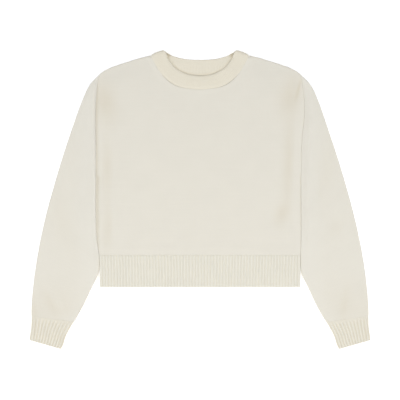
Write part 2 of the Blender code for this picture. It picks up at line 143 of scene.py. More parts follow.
def through(knots: Array, values: Array, at: Array) -> Array:
    """A curve through every knot, cubic between two of them, with one slope on both sides of each.

    Args:
        knots: Where the knots lie, rising.
        values: The curve's value at each, one row for each knot.
        at: Where it is read.

    Returns:
        The values there.
    """
    slopes = np.gradient(values, knots, axis=0)
    low = np.clip(np.searchsorted(knots, at) - 1, 0, len(knots) - 2)
    span = knots[low + 1] - knots[low]
    share = np.clip((at - knots[low]) / span, 0, 1)
    if values.ndim > 1:
        span, share = span[..., None], share[..., None]
    start = (1 + 2 * share) * (1 - share) ** 2 * values[low]
    leave = share * (1 - share) ** 2 * span * slopes[low]
    end = share**2 * (3 - 2 * share) * values[low + 1]
    arrive = share**2 * (share - 1) * span * slopes[low + 1]
    return start + leave + end + arrive


@dataclass(frozen=True)
class Line:
    """A smooth line on the sweater, given by a few (place, value) pairs."""

    knots: Rows

    def at(self, where: Array) -> Array:
        """The line's value at each place."""
        places, values = np.array(self.knots).T
        return through(places, values, np.asarray(where, float))


@dataclass(frozen=True)
class Crease:
    """A soft ridge that lies `turn` degrees from upright, or a trough where its height is under 0."""

    across: float
    up: float
    length: float
    width: float
    turn: float
    height: float

    def at(self, across: Array, up: Array) -> Array:
        """Its height: a bell along its line times a bell across it.

        Args:
            across: Places across the sweater.
            up: Their heights above the hem.

        Returns:
            What it adds at each place, in metres.
        """
        turn = np.radians(self.turn)
        aside, above = across - self.across, up - self.up
        along = aside * np.sin(turn) + above * np.cos(turn)
        beside = aside * np.cos(turn) - above * np.sin(turn)
        return self.height * bell(along, self.length) * bell(beside, self.width)


def creased(creases: tuple[Crease, ...], across: Array, up: Array) -> Array:
    """The sum of what the creases add at each place, in metres."""
    return sum((crease.at(across, up) for crease in creases), np.zeros(np.broadcast(across, up).shape))


def clear_of_painted_trough_shade(creases: tuple[Crease, ...], across: Array, up: Array, share: float = 1.0) -> Array:
    """How clear the cloth's colour is of painted shade, which darkens troughs: 1, less `share` of each
    trough's part of full depth.
    """
    return 1 - share * np.clip(-creased(creases, across, up) / FULL_TROUGH, 0, 1)


@dataclass(frozen=True)
class Lie:
    """How unevenly the cloth lies: a few long waves that cross each other, as (length, degrees, start)."""

    height: float = 0.00012
    waves: Rows = (
        (0.118, 21.0, 0.4),
        (0.083, 74.0, 2.1),
        (0.061, -38.0, 4.0),
        (0.047, 118.0, 1.2),
        (0.149, -9.0, 5.3),
    )

    def at(self, across: Array, up: Array) -> Array:
        """A sum of sines, each with its own length, direction and start.

        Args:
            across: Places across the sweater.
            up: Their heights above the hem.

        Returns:
            What it adds at each place, in metres.
        """
        total = np.zeros(np.broadcast(across, up).shape)
        for length, degrees, start in self.waves:
            turn = np.radians(degrees)
            total += np.sin(2 * np.pi * (across * np.cos(turn) + up * np.sin(turn)) / length + start)
        return self.height * total


@dataclass(frozen=True)
class Outline:
    """The lines that the pieces share.

    `lines` gives how far out the left and the right sleeve begin at a height, `outer` a sleeve's outer
    fold, and `shoulder` the shoulder's height by the distance from the centre line.
    """

    lines: Rows = (
        (-0.084, 0.2718, 0.2718),
        (-0.073, 0.2646, 0.2646),
        (-0.062, 0.2578, 0.2578),
        (-0.045, 0.2481, 0.2481),
        (-0.012, 0.2320, 0.2320),
        (0.005, 0.2240, 0.2240),
        (0.020, 0.2165, 0.2165),
        (0.031, 0.2122, 0.2120),
        (0.046, 0.2107, 0.2107),
        (0.067, 0.2112, 0.2107),
        (0.100, 0.2160, 0.2117),
        (0.140, 0.2178, 0.2120),
        (0.245, 0.2180, 0.2120),
        (0.287, 0.2180, 0.2127),
        (0.315, 0.2184, 0.2142),
        (0.350, 0.2188, 0.2180),
        (0.385, 0.2181, 0.2190),
        (0.415, 0.2157, 0.2162),
        (SHOULDER_TIP_UP, 0.2110, 0.2110),
    )
    outer: Line = Line(
        (
            (-0.068, 0.3533),
            (-0.045, 0.3534),
            (-0.012, 0.3510),
            (0.039, 0.3450),
            (0.089, 0.3365),
            (0.156, 0.3215),
            (0.223, 0.3030),
            (0.291, 0.2820),
            (0.341, 0.2650),
            (0.375, 0.2525),
            (0.400, 0.2420),
            (0.417, 0.2345),
            (0.430, 0.2265),
            (0.440, 0.2180),
            (0.4465, 0.2110),
        )
    )
    shoulder: Line = Line(
        (
            (0.000, 0.5100),
            (0.103, 0.4855),
            (0.121, 0.4815),
            (0.146, 0.4740),
            (0.171, 0.4660),
            (0.190, 0.4590),
            (0.203, 0.4520),
            (SHOULDER_TIP_OUT, 0.4462),
        )
    )
    sleeve_leaves: float = 0.036
    hem_spread: float = 0.020

    def side(self, up: Array, side: Side) -> Array:
        """How far out a sleeve begins at each height."""
        ups, left, right = np.array(self.lines).T
        return through(ups, right if side is Side.RIGHT else left, np.asarray(up, float))

    def half_at(self, across: Array, up: Array) -> Array:
        """Half the body's width at each place: the hem's at its foot, and up to a sleeve's line above."""
        line = np.where(across < 0, self.side(up, Side.LEFT), self.side(up, Side.RIGHT)) - CLOSE
        return HEM_HALF + (line - HEM_HALF) * rise((up - self.sleeve_leaves) / self.hem_spread)


OUTLINE = Outline()
LIE = Lie()


def place(across: Array, up: Array, height: Array) -> Array:
    """World points for places on the sweater, with X, Y and Z last."""
    return np.stack(np.broadcast_arrays(across, up - ORIGIN_UP, height), axis=-1)


def rounded(distance: Array, radius: float) -> Array:
    """How far a rounded edge has dropped at a distance d: r - sqrt(r^2 - (r - d)^2), and 0 past r."""
    inward = radius - np.clip(distance, 0, radius)
    return radius - np.sqrt(radius**2 - inward**2)


def stations(length: Array, count: int, rim: float) -> Array:
    """Places along a length: close together in the rim at both ends, and even between them.

    Args:
        length: The whole length, or one for each column.
        count: How many places.
        rim: How wide the rims are.

    Returns:
        The places, one row for each.
    """
    near = rim * RIM_STEPS
    length = np.asarray(length, float)
    inner = np.linspace(0, 1, count - 2 * len(near)).reshape(-1, *[1] * length.ndim)
    near = near.reshape(-1, *[1] * length.ndim) * np.ones_like(length)
    return np.concatenate([near, rim + (length - 2 * rim) * inner, (length - near)[::-1]])


# ------------------------------ Finishes ------------------------------


class Graph:
    """Adds shader nodes to a material and joins them."""

    def __init__(self, material: bpy.types.Material) -> None:
        """Starts from the material's own shader.

        Args:
            material: The material.
        """
        material.use_nodes = True
        self.tree = material.node_tree
        self.shader = self.tree.nodes["Principled BSDF"]

    def join(self, value: object, socket: Socket) -> None:
        """Feeds an input from a value or from another node's output.

        Args:
            value: The value or the output.
            socket: The input.
        """
        if isinstance(value, Socket):
            self.tree.links.new(value, socket)
        else:
            socket.default_value = value

    def dress(self, **inputs: object) -> None:
        """Feeds the shader's own inputs, named with _ for a space."""
        for name, value in inputs.items():
            self.join(value, self.shader.inputs[name.replace("_", " ")])

    def node(self, kind: str, inputs: dict[str, object], **settings: object) -> bpy.types.Node:
        """A new node.

        Args:
            kind: Its Blender type.
            inputs: A value or another node's output for each named input.
            **settings: Its own settings.

        Returns:
            The node.
        """
        made = self.tree.nodes.new(kind)
        for name, value in settings.items():
            setattr(made, name, value)
        for name, value in inputs.items():
            self.join(value, made.inputs[name])
        return made

    def math(self, operation: str, *values: object) -> Socket:
        """One step of arithmetic.

        Args:
            operation: Blender's name for it.
            *values: Its inputs, in order.

        Returns:
            Its result.
        """
        made = self.node("ShaderNodeMath", {}, operation=operation)
        for value, socket in zip(values, made.inputs):
            self.join(value, socket)
        return made.outputs[0]

    def mix(self, blend: str, *values: object) -> Socket:
        """A mix of two colours.

        Args:
            blend: How they are mixed.
            *values: The factor and the two colours.

        Returns:
            The mixed colour.
        """
        made = self.node("ShaderNodeMix", {}, data_type="RGBA", blend_type=blend)
        for value, index in zip(values, MIX_INPUTS):
            self.join(value, made.inputs[index])
        return made.outputs[MIX_OUTPUT]

    def noise(self, where: Socket, scale: float, detail: float) -> Socket:
        """Soft noise from 0 to 1, with `scale` features to a metre and `detail` finer octaves."""
        inputs = {"Vector": where, "Scale": scale, "Detail": detail, "Roughness": NOISE_ROUGHNESS}
        return self.node("ShaderNodeTexNoise", inputs).outputs["Fac"]

    def bump(self, height: Socket, relief: float, strength: float, **under: Socket) -> Socket:
        """The normal over a height from 0 to 1 that stands `relief` metres high, on the one under it."""
        inputs = {"Height": height, "Distance": relief, "Strength": strength, **under}
        return self.node("ShaderNodeBump", inputs).outputs["Normal"]

    def spread(self, value: Socket, amount: float, middle: object) -> Socket:
        """A value from 0 to 1 made to lie evenly about a middle, `amount` apart."""
        return self.math("MULTIPLY_ADD", self.math("SUBTRACT", value, 0.5), amount, middle)


@dataclass(frozen=True)
class KnitFinish:
    """A matt cotton knit: its colour, its painted shade colour between its stitches, and the stitches' sizes.
    """

    name: str
    slot: Slot
    colour: Colour
    shade: Colour
    groove_shade: float
    mottle: float = 0.035
    mottle_scale: float = 22.0
    yarn: float = 0.03
    yarn_scale: tuple[float, float, float] = (9.0, 420.0, 1.0)
    gap_shade: float = 0.30
    lean: float = 0.9
    leg_rise: float = 0.65
    stitch_relief: float = 0.00010
    stitch_strength: float = 0.8
    fuzz_scale: float = 1800.0
    fuzz_relief: float = 0.00008
    fuzz_strength: float = 0.5
    roughness: float = 0.92
    specular: float = 0.25
    sheen: float = 0.18
    sheen_roughness: float = 0.5

    def stitches(self, graph: Graph, knit: Socket) -> Socket:
        """The height of a face of knit stitches, 0 between them and 1 on top of a leg.

        Each wale holds a column of stitches, and each stitch is two legs that lean outwards as they rise.
        Across a leg the height is 1 - (2x - 1)^2, where x runs from the wale's middle to its edge. Along
        it the height is |sin| of the course, moved up by x times the lean.

        Args:
            graph: The material's nodes.
            knit: The knit's own place.

        Returns:
            The height.
        """
        split = graph.node("ShaderNodeSeparateXYZ", {"Vector": knit})
        wale = graph.math("DIVIDE", split.outputs["X"], WALE)
        course = graph.math("DIVIDE", split.outputs["Y"], COURSE)
        aside = graph.math("SUBTRACT", graph.math("FRACT", wale), 0.5)
        aside = graph.math("MULTIPLY", graph.math("ABSOLUTE", aside), 2.0)
        middle = graph.math("MULTIPLY_ADD", aside, 2.0, -1.0)
        across_leg = graph.math("SUBTRACT", 1.0, graph.math("MULTIPLY", middle, middle))
        phase = graph.math("SUBTRACT", course, graph.math("MULTIPLY", aside, self.lean))
        along_leg = graph.math("ABSOLUTE", graph.math("SINE", graph.math("MULTIPLY", phase, np.pi)))
        along_leg = graph.math("MULTIPLY_ADD", along_leg, self.leg_rise, 1 - self.leg_rise)
        return graph.math("MULTIPLY", across_leg, along_leg)

    def material(self) -> bpy.types.Material:
        """The material: stitches in relief and in painted shade, with uneven yarn, a soft mottle and fine
        fuzz.

        The painted shade's share is gap_shade (1 - stitch height) + groove_shade (1 - relief), 1 at most.

        Returns:
            The material.
        """
        made = bpy.data.materials.new(self.name)
        graph = Graph(made)
        knit = graph.node("ShaderNodeUVMap", {}, uv_map="knit").outputs["UV"]
        where = graph.node("ShaderNodeTexCoord", {}).outputs["Object"]
        relief = graph.node("ShaderNodeAttribute", {}, attribute_name="relief").outputs["Fac"]
        height = self.stitches(graph, knit)
        stretched = {"Vector": knit, "Scale": self.yarn_scale}
        rows = graph.node("ShaderNodeMapping", stretched, vector_type="POINT").outputs["Vector"]
        light = graph.spread(graph.noise(where, self.mottle_scale, 3.0), self.mottle, 1.0)
        light = graph.spread(graph.noise(rows, 1.0, 2.0), self.yarn, light)
        gap = graph.math("MULTIPLY", graph.math("SUBTRACT", 1.0, height), self.gap_shade)
        groove = graph.math("MULTIPLY", graph.math("SUBTRACT", 1.0, relief), self.groove_shade)
        shaded = graph.math("MINIMUM", graph.math("ADD", gap, groove), 1.0)
        base = graph.mix("MIX", shaded, (*self.colour, 1.0), (*self.shade, 1.0))
        grey = graph.node("ShaderNodeCombineColor", {"Red": light, "Green": light, "Blue": light})
        normal = graph.bump(height, self.stitch_relief, self.stitch_strength)
        fuzz = graph.noise(where, self.fuzz_scale, 2.0)
        graph.dress(
            Base_Color=graph.mix("MULTIPLY", 1.0, base, grey.outputs["Color"]),
            Normal=graph.bump(fuzz, self.fuzz_relief, self.fuzz_strength, Normal=normal),
            Roughness=self.roughness,
            Specular_IOR_Level=self.specular,
            Sheen_Weight=self.sheen,
            Sheen_Roughness=self.sheen_roughness,
            Sheen_Tint=(*self.colour, 1.0),
        )
        return made


# Each finish's second colour is painted shade, mixed in between the stitches and in grooves, troughs and
# folds. CUFF_RIB is the rib with deeper painted groove shade; BAND's is darkest, for the painted shadow in
# the neckband's fold.
JERSEY = KnitFinish("jersey_knit", Slot.JERSEY, (0.783, 0.752, 0.665), (0.715, 0.660, 0.540), 0.80)
RIB = KnitFinish("rib_knit", Slot.RIB, (0.810, 0.785, 0.690), (0.700, 0.660, 0.545), 0.38)
CUFF_RIB = KnitFinish("cuff_knit", Slot.RIB, (0.826, 0.790, 0.690), (0.690, 0.640, 0.515), 0.55)
BAND = KnitFinish("band_knit", Slot.BAND, (0.826, 0.777, 0.652), (0.600, 0.530, 0.390), 1.0, mottle=0.02)


@dataclass(frozen=True)
class PaperFinish:
    """Pale matt paper with a fine grain, which glows a little."""

    name: str = "floor_paper"
    colour: Colour = (0.93, 0.93, 0.93)
    glow: float = 0.25
    grain_scale: float = 900.0
    grain_relief: float = 0.00002
    grain_strength: float = 0.3
    roughness: float = 0.9
    specular: float = 0.1

    def material(self) -> bpy.types.Material:
        """The material: one colour, with the grain as a bump.

        Returns:
            The material.
        """
        made = bpy.data.materials.new(self.name)
        graph = Graph(made)
        where = graph.node("ShaderNodeTexCoord", {}).outputs["Object"]
        grain = graph.noise(where, self.grain_scale, 2.0)
        graph.dress(
            Base_Color=(*self.colour, 1.0),
            Normal=graph.bump(grain, self.grain_relief, self.grain_strength),
            Roughness=self.roughness,
            Specular_IOR_Level=self.specular,
            Emission_Color=(1.0, 1.0, 1.0, 1.0),
            Emission_Strength=self.glow,
        )
        return made


# ------------------------------ Meshes ------------------------------


def quads(numbers: Array, closed_along: bool, closed_round: bool) -> Array:
    """The quads between neighbouring points of a grid.

    Args:
        numbers: The grid's vertex numbers, rows along and columns round.
        closed_along: Whether the last row meets the first.
        closed_round: Whether the last column meets the first.

    Returns:
        Four vertex numbers for each quad.
    """
    if closed_along:
        numbers = np.concatenate([numbers, numbers[:1]])
    if closed_round:
        numbers = np.concatenate([numbers, numbers[:, :1]], axis=1)
    corners = (numbers[:-1, :-1], numbers[:-1, 1:], numbers[1:, 1:], numbers[1:, :-1])
    return np.stack(corners, axis=-1).reshape(-1, 4)


def wall_quads(rows: int, columns: int, closed_round: bool) -> Array:
    """The quads of a wall: an outer skin, an inner skin turned over, and the rims that join them.

    Args:
        rows: Points along each skin.
        columns: Points round each skin.
        closed_round: Whether the columns close on themselves.

    Returns:
        Four vertex numbers for each quad, those of the outer skin first.
    """
    outer = np.arange(rows * columns).reshape(rows, columns)
    inner = outer + rows * columns
    parts = [quads(outer, False, closed_round), quads(inner, False, closed_round)[:, ::-1]]
    parts.append(quads(np.stack([inner[0], outer[0]]), False, closed_round))
    parts.append(quads(np.stack([outer[-1], inner[-1]]), False, closed_round))
    if not closed_round:
        parts.append(quads(np.stack([outer[:, 0], inner[:, 0]]), False, False))
        parts.append(quads(np.stack([inner[:, -1], outer[:, -1]]), False, False))
    return np.concatenate(parts)


@dataclass
class Skin:
    """One face of the cloth: its points, the knit's own place at each, and how clear of painted shade it is
    there.
    """

    points: Array
    knit: Array
    relief: Array


@dataclass(frozen=True)
class Cut:
    """What a piece was knitted or cut to: its width, its length and its area, in metres."""

    width: float
    length: float
    area: float


@dataclass
class Piece:
    """One piece of the sweater: its name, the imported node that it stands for, and its cut."""

    name: str
    node: str
    cut: Cut

    def make(self, faces: Array, skins: list[Skin], finish: KnitFinish, *rests_on: str) -> bpy.types.Object:
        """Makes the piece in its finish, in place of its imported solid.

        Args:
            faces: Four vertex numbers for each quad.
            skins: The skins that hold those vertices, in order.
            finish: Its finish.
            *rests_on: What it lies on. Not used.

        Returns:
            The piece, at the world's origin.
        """
        mesh = self.mesh(faces, skins)
        mesh.materials.append(finish.material())
        made = bpy.data.objects.new(self.name, mesh)
        bpy.context.scene.collection.objects.link(made)
        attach(made, BODY)
        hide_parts(self.node)
        log.info("%s: %d faces for %s", self.name, len(mesh.polygons), self.node)
        return made

    def mesh(self, faces: Array, skins: list[Skin]) -> bpy.types.Mesh:
        """The piece's mesh, with its faces pointing out.

        Args:
            faces: Four vertex numbers for each quad.
            skins: The skins that hold those vertices, in order.

        Returns:
            The mesh.
        """
        points = np.concatenate([skin.points.reshape(-1, 3) for skin in skins])
        corners = points[faces]
        twice_areas = np.cross(corners[:, 2] - corners[:, 0], corners[:, 3] - corners[:, 1])
        if (twice_areas * corners.mean(axis=1)).sum() < 0:
            faces = faces[:, ::-1]
        mesh = bpy.data.meshes.new(self.name)
        mesh.vertices.add(len(points))
        mesh.vertices.foreach_set("co", points.astype(np.float32).ravel())
        mesh.loops.add(faces.size)
        mesh.loops.foreach_set("vertex_index", faces.astype(np.int32).ravel())
        mesh.polygons.add(len(faces))
        mesh.polygons.foreach_set("loop_start", np.arange(0, faces.size, 4, dtype=np.int32))
        mesh.update(calc_edges=True)
        self.write_maps(mesh, faces, skins)
        mesh.shade_smooth()
        mesh.set_sharp_from_angle(angle=SHARP_ANGLE)
        return mesh

    @staticmethod
    def write_maps(mesh: bpy.types.Mesh, faces: Array, skins: list[Skin]) -> None:
        """Gives a mesh its knit map, in metres along the wales and courses, and its relief: how clear of
        painted shade each point is.

        Where a skin closes on itself the knit's place would jump back, so a face there keeps one side's.

        Args:
            mesh: The mesh.
            faces: Four vertex numbers for each quad.
            skins: The skins that hold those vertices, in order.
        """
        knit = np.concatenate([skin.knit.reshape(-1, 2) for skin in skins])[faces]
        first, whole = knit[:, :1], np.abs(knit).max(axis=(0, 1))
        knit = np.where(np.abs(knit - first) > whole * MAP_JUMP, first, knit)
        layer = mesh.uv_layers.new(name="knit")
        layer.data.foreach_set("uv", knit.astype(np.float32).ravel())
        relief = mesh.attributes.new("relief", "FLOAT", "POINT")
        values = np.concatenate([skin.relief.ravel() for skin in skins])
        relief.data.foreach_set("value", values.astype(np.float32))


# ------------------------------ Body ------------------------------


@dataclass(frozen=True)
class FrontLie:
    """How the front rises from its seams over the back, and its creases."""

    rib_step: float = 0.0006
    pillow: float = 0.0012
    side_slope: float = 0.022
    shoulder_slope: float = 0.045
    hem_slope: float = 0.050
    blouse: float = 0.0008
    blouse_up: float = 0.013
    blouse_spread: float = 0.011
    neck_spread: float = 0.013
    shoulder_close: float = 0.005
    creases: tuple[Crease, ...] = (
        Crease(-0.194, 0.246, 0.055, 0.012, 0, -0.0008),
        Crease(-0.192, 0.125, 0.050, 0.012, 3, -0.0007),
        Crease(-0.172, 0.190, 0.090, 0.014, 2, 0.0005),
        Crease(-0.198, 0.388, 0.042, 0.021, -12, -0.0012),
        Crease(0.187, 0.262, 0.085, 0.013, 3, -0.0009),
        Crease(0.171, 0.154, 0.022, 0.014, 20, -0.0009),
        Crease(0.202, 0.250, 0.080, 0.009, 0, 0.0005),
        Crease(0.189, 0.400, 0.042, 0.022, 14, -0.0010),
        Crease(0.2062, 0.414, 0.022, 0.0030, 14.6, -0.0014),
        Crease(-0.060, 0.300, 0.070, 0.050, 30, 0.0003),
        Crease(0.070, 0.200, 0.080, 0.045, -25, 0.0003),
    )

    def inside(self, across: Array, up: Array, from_neck: Array) -> Array:
        """Height of the front's inner face: the seam's, and a smooth rise away from each edge.

        Near the neck it is drawn up, so that its outer face meets the neckband's sewn edge.

        Args:
            across: Places across the sweater.
            up: Their heights above the hem.
            from_neck: How far each lies from the neck's seam.

        Returns:
            The height above the surface below.
        """
        below_shoulder = OUTLINE.shoulder.at(np.abs(across)) - up
        from_side = rise((OUTLINE.half_at(across, up) - np.abs(across)) / self.side_slope)
        from_shoulder = rise(below_shoulder / self.shoulder_slope)
        from_hem = rise((up - HEM_RIB_UP) / self.hem_slope)
        blouse = self.blouse * bell(up - HEM_RIB_UP - self.blouse_up, self.blouse_spread)
        folds = creased(self.creases, across, up) + LIE.at(across, up) * from_hem
        lift = from_shoulder * (self.rib_step + self.pillow * from_hem + folds) + blouse
        height = WALL + SEAM_GAP + from_side * lift
        drawn = (1 - rise(from_neck / self.neck_spread)) * rise(below_shoulder / self.shoulder_close)
        return height + drawn * (BAND_SEAM_TOP - CLOSE - WALL - height)


@dataclass
class BodyPanel(Piece):
    """One panel of plain jersey, from the hem rib to the neckband and the shoulders."""

    layer: Layer
    neck: Line
    columns: int
    rows: int
    rim: float = 0.0018
    seam_round: float = 0.00015
    side_round: float = 0.0003
    shoulder_round: float = 0.0018
    neck_points: int = 90
    lie: FrontLie = FrontLie()

    @property
    def neck_end(self) -> float:
        """How far out the neck's seam meets the shoulder."""
        return self.neck.knots[-1][0]

    def places(self) -> tuple[Array, Array, Array]:
        """The grid over the panel: upright columns from the hem rib up to the neck's seam and the shoulder.

        Returns:
            Across, up, and the drop of the outer face at the panel's edges.
        """
        shares = stations(2.0, self.columns, self.rim / SHOULDER_TIP_OUT) - 1.0
        out = np.abs(shares) * SHOULDER_TIP_OUT
        at_neck = out < self.neck_end
        low = HEM_RIB_UP + CLOSE
        high = np.where(at_neck, self.neck.at(out), OUTLINE.shoulder.at(out))
        up = low + stations(high - low, self.rows, self.rim)
        half = OUTLINE.half_at(shares, up)
        from_top = rounded(high - up, self.shoulder_round)
        from_top = np.where(at_neck, rounded(high - up, self.seam_round), from_top)
        from_side = rounded(half * (1 - np.abs(shares)), self.side_round)
        from_hem = rounded(up - low, self.seam_round)
        return shares * half, up, np.maximum(np.maximum(from_top, from_side), from_hem)

    def from_neck(self, across: Array, up: Array) -> Array:
        """How far places lie from the neck's seam, measured to the nearest of many points along it.

        Args:
            across: Places across the sweater.
            up: Their heights above the hem.

        Returns:
            The distances, in metres.
        """
        outs = np.linspace(0, self.neck_end, self.neck_points)
        aside = np.abs(across)[..., None] - outs
        return np.hypot(aside, up[..., None] - self.neck.at(outs)).min(axis=-1)

    def build(self) -> bpy.types.Object:
        """The panel, as a closed wall in the finish of plain jersey.

        Returns:
            The piece.
        """
        across, up, drop = self.places()
        if self.layer is Layer.FRONT:
            inside = self.lie.inside(across, up, self.from_neck(across, up))
            heights = (inside + WALL - drop, inside)
            # Painted shade: the front's troughs are painted darker, by their depth.
            relief = clear_of_painted_trough_shade(self.lie.creases, across, up)
            under = ["back_jersey"]
        else:
            heights = (drop, np.full(across.shape, WALL))
            relief = np.ones(across.shape)
            under = []
        knit = np.stack([across, up], axis=-1)
        skins = [Skin(place(across, up, height), knit, relief) for height in heights]
        return self.make(wall_quads(*across.shape, False), skins, JERSEY, *under)


@dataclass(frozen=True)
class RibForm:
    """A 2x2 rib: two knit wales stand out, and two purl wales lie back between them."""

    middle: float = 0.45
    half_width: float = 0.33
    steepness: float = 0.55
    wale_dip: float = 0.16
    dip_width: float = 0.22
    points: int = 12

    def counted(self, ribs: int) -> Array:
        """Even places over a number of ribs, counted in ribs."""
        return np.arange(ribs * self.points + 1) / self.points

    def height(self, counted: Array) -> Array:
        """The rib's height at places counted in ribs, 0 in the groove and 1 on top.

        Over the rib's width it is (1 - q^2)^steepness, less a small bell between its two wales, where q
        runs from -1 to 1 across the rib.

        Args:
            counted: The places.

        Returns:
            The height.
        """
        q = (counted % 1 - self.middle) / self.half_width
        body = np.clip(1 - q * q, 0, 1) ** self.steepness
        return body * (1 - self.wale_dip * bell(q, self.dip_width))

    def kept(self, from_edge: Array, rim: float) -> Array:
        """What a rib keeps of its relief near an edge: a smooth step from EDGE_RELIEF to 1 over the rim."""
        return EDGE_RELIEF + (1 - EDGE_RELIEF) * rise(from_edge / rim)


RIB_FORM = RibForm()


@dataclass
class HemRib(Piece):
    """One layer of the hem's 2x2 rib, which spreads a little towards the body and wobbles a little."""

    layer: Layer
    rows: int
    rim: float = 0.0016
    edge_round: float = 0.0008
    side_round: float = 0.0013
    seam_round: float = 0.00015
    inside_round: float = 0.8
    relief: float = 0.0010
    flat_relief: float = 0.0006
    side_wale: float = 0.0030
    spread: float = 0.0020
    spread_foot: float = 0.4
    wobble: float = 0.00018
    wobbles: Rows = ((31, 5, 0), (53, -4, 1.3))
    wobble_fade: int = 6

    def places(self) -> tuple[Array, Array, Array, Array]:
        """The grid over the rib.

        The ribs spread by a sine across the hem, which grows with the square of the height, and wobble by
        two more. At each side the last groove is filled, where the two layers join.

        Returns:
            Across, up, the distance from the side, and the share of the rib's relief at each point.
        """
        counted = RIB_FORM.counted(HEM_RIBS)
        share = 2 * counted / HEM_RIBS - 1
        up = stations(HEM_RIB_UP, self.rows, self.rim)[:, None]
        level, half = up / HEM_RIB_UP, OUTLINE.half_at(share, up)
        spread = self.spread_foot + (1 - self.spread_foot) * level**2
        wobble = sum(np.sin(share * wide + level * high + start) for wide, high, start in self.wobbles)
        across = half * share + self.spread * np.sin(np.pi * share) * spread
        across = across + self.wobble * wobble * (1 - share**self.wobble_fade)
        relief = RIB_FORM.height(counted)
        filled = 1 - rise((half - np.abs(across)) / self.side_wale)
        return across, up, half - np.abs(across), relief + (1 - relief) * filled

    def build(self) -> bpy.types.Object:
        """The rib, as a closed wall that is ribbed outside and plain inside.

        Returns:
            The piece.
        """
        across, up, side, relief = self.places()
        below = HEM_RIB_UP - up
        drop = np.maximum(rounded(up, self.edge_round), rounded(below, self.seam_round))
        drop = np.maximum(drop, rounded(side, self.side_round))
        inner_drop = self.inside_round * rounded(up, self.edge_round)
        if self.layer is Layer.FRONT:
            inside = BACK_RIB_WALL + SEAM_GAP
            grown = relief * RIB_FORM.kept(np.minimum(up, below), self.rim)
            heights = (inside + RIB_GROOVE_WALL + self.relief * grown - drop, inside + inner_drop)
            under = ["back_hem"]
        else:
            heights = (self.flat_relief * (1 - relief) + drop, BACK_RIB_WALL - inner_drop)
            under = []
        wales = np.linspace(0, RIB_WALES * WALE * HEM_RIBS, across.shape[1])
        knit = np.stack(np.broadcast_arrays(wales, up), axis=-1)
        # Painted shade in the rib's grooves on the outer face, by the rib's height; none inside.
        reliefs = (relief, np.ones(relief.shape))
        skins = [Skin(place(across, up, height), knit, shown) for height, shown in zip(heights, reliefs)]
        return self.make(wall_quads(*across.shape, False), skins, RIB, *under)


# ------------------------------ Sleeves and cuffs ------------------------------


@dataclass
class Rings:
    """Rings round a flattened tube: where each point is, how high, and how far round the cloth it lies."""

    outs: Array
    ups: Array
    heights: Array
    rounds: Array


@dataclass(frozen=True)
class FlatTube:
    """How a flattened tube's rings are shared out: points on each fold, on top and on the underside."""

    fold_points: int
    top: Array
    under: Array

    @property
    def upper(self) -> slice:
        """The columns of the top face."""
        return slice(self.fold_points, self.fold_points + len(self.top))

    def rings(
        self, outer: Array, inner: Array, fold_heights: tuple[Array, Array], cut: float, power: float = 1.0
    ) -> Rings:
        """Rings between two edges, with a half round at each fold and both faces flat.

        At the inner fold a point lies r - (r - cut) cos(turn)^p from the edge and r + (r - cut) sin(turn)^p
        high, where r is half the tube's height there. The power p is 1 for a round fold, and less for a
        squarer one. The outer fold is round, and turned over.

        Args:
            outer: The outer edge's (out, up), one row for each ring.
            inner: The inner edge's.
            fold_heights: The tube's height at the inner fold and at the outer one.
            cut: 0 for the outside of the cloth, and its thickness for the inside.
            power: The inner fold's p.

        Returns:
            The rings, with the top face's heights left at 0.
        """
        reach = np.hypot(*(outer - inner).T)[:, None]
        along = (outer - inner) / reach
        turns = np.linspace(-np.pi / 2, np.pi / 2, self.fold_points)
        first, last = fold_heights[0][:, None] / 2, fold_heights[1][:, None] / 2
        near = first - (first - cut) * np.clip(np.cos(turns), 0, 1) ** power
        near_up = np.sign(turns) * np.abs(np.sin(turns)) ** power
        far = reach - last + (last - cut) * np.cos(turns[::-1])
        top = first + (reach - first - last) * self.top
        under = first + (reach - first - last) * self.under[::-1]
        distance = np.concatenate([near, top, far, under], axis=1)
        heights = [first + (first - cut) * near_up, np.zeros_like(top)]
        heights += [last + (last - cut) * np.sin(turns[::-1]), np.full_like(under, cut)]
        heights = np.concatenate(heights, axis=1)
        outs = inner[:, :1] + along[:, :1] * distance
        ups = inner[:, 1:] + along[:, 1:] * distance
        flat = np.abs(np.diff(distance, axis=1))
        steps = np.hypot(flat, np.diff(heights, axis=1))
        on_top = slice(self.upper.start - 1, self.upper.stop)
        steps[:, on_top] = flat[:, on_top]
        rounds = np.concatenate([np.zeros_like(reach), np.cumsum(steps, axis=1)], axis=1)
        return Rings(outs, ups, heights, rounds)


# A sleeve's points lie closer together beside the body, where its ridge is
SLEEVE_TUBE = FlatTube(
    fold_points=13,
    top=np.concatenate([np.linspace(0.012, 0.13, 18), np.linspace(0.145, 0.985, 50)]),
    under=np.linspace(0.03, 0.97, 30),
)


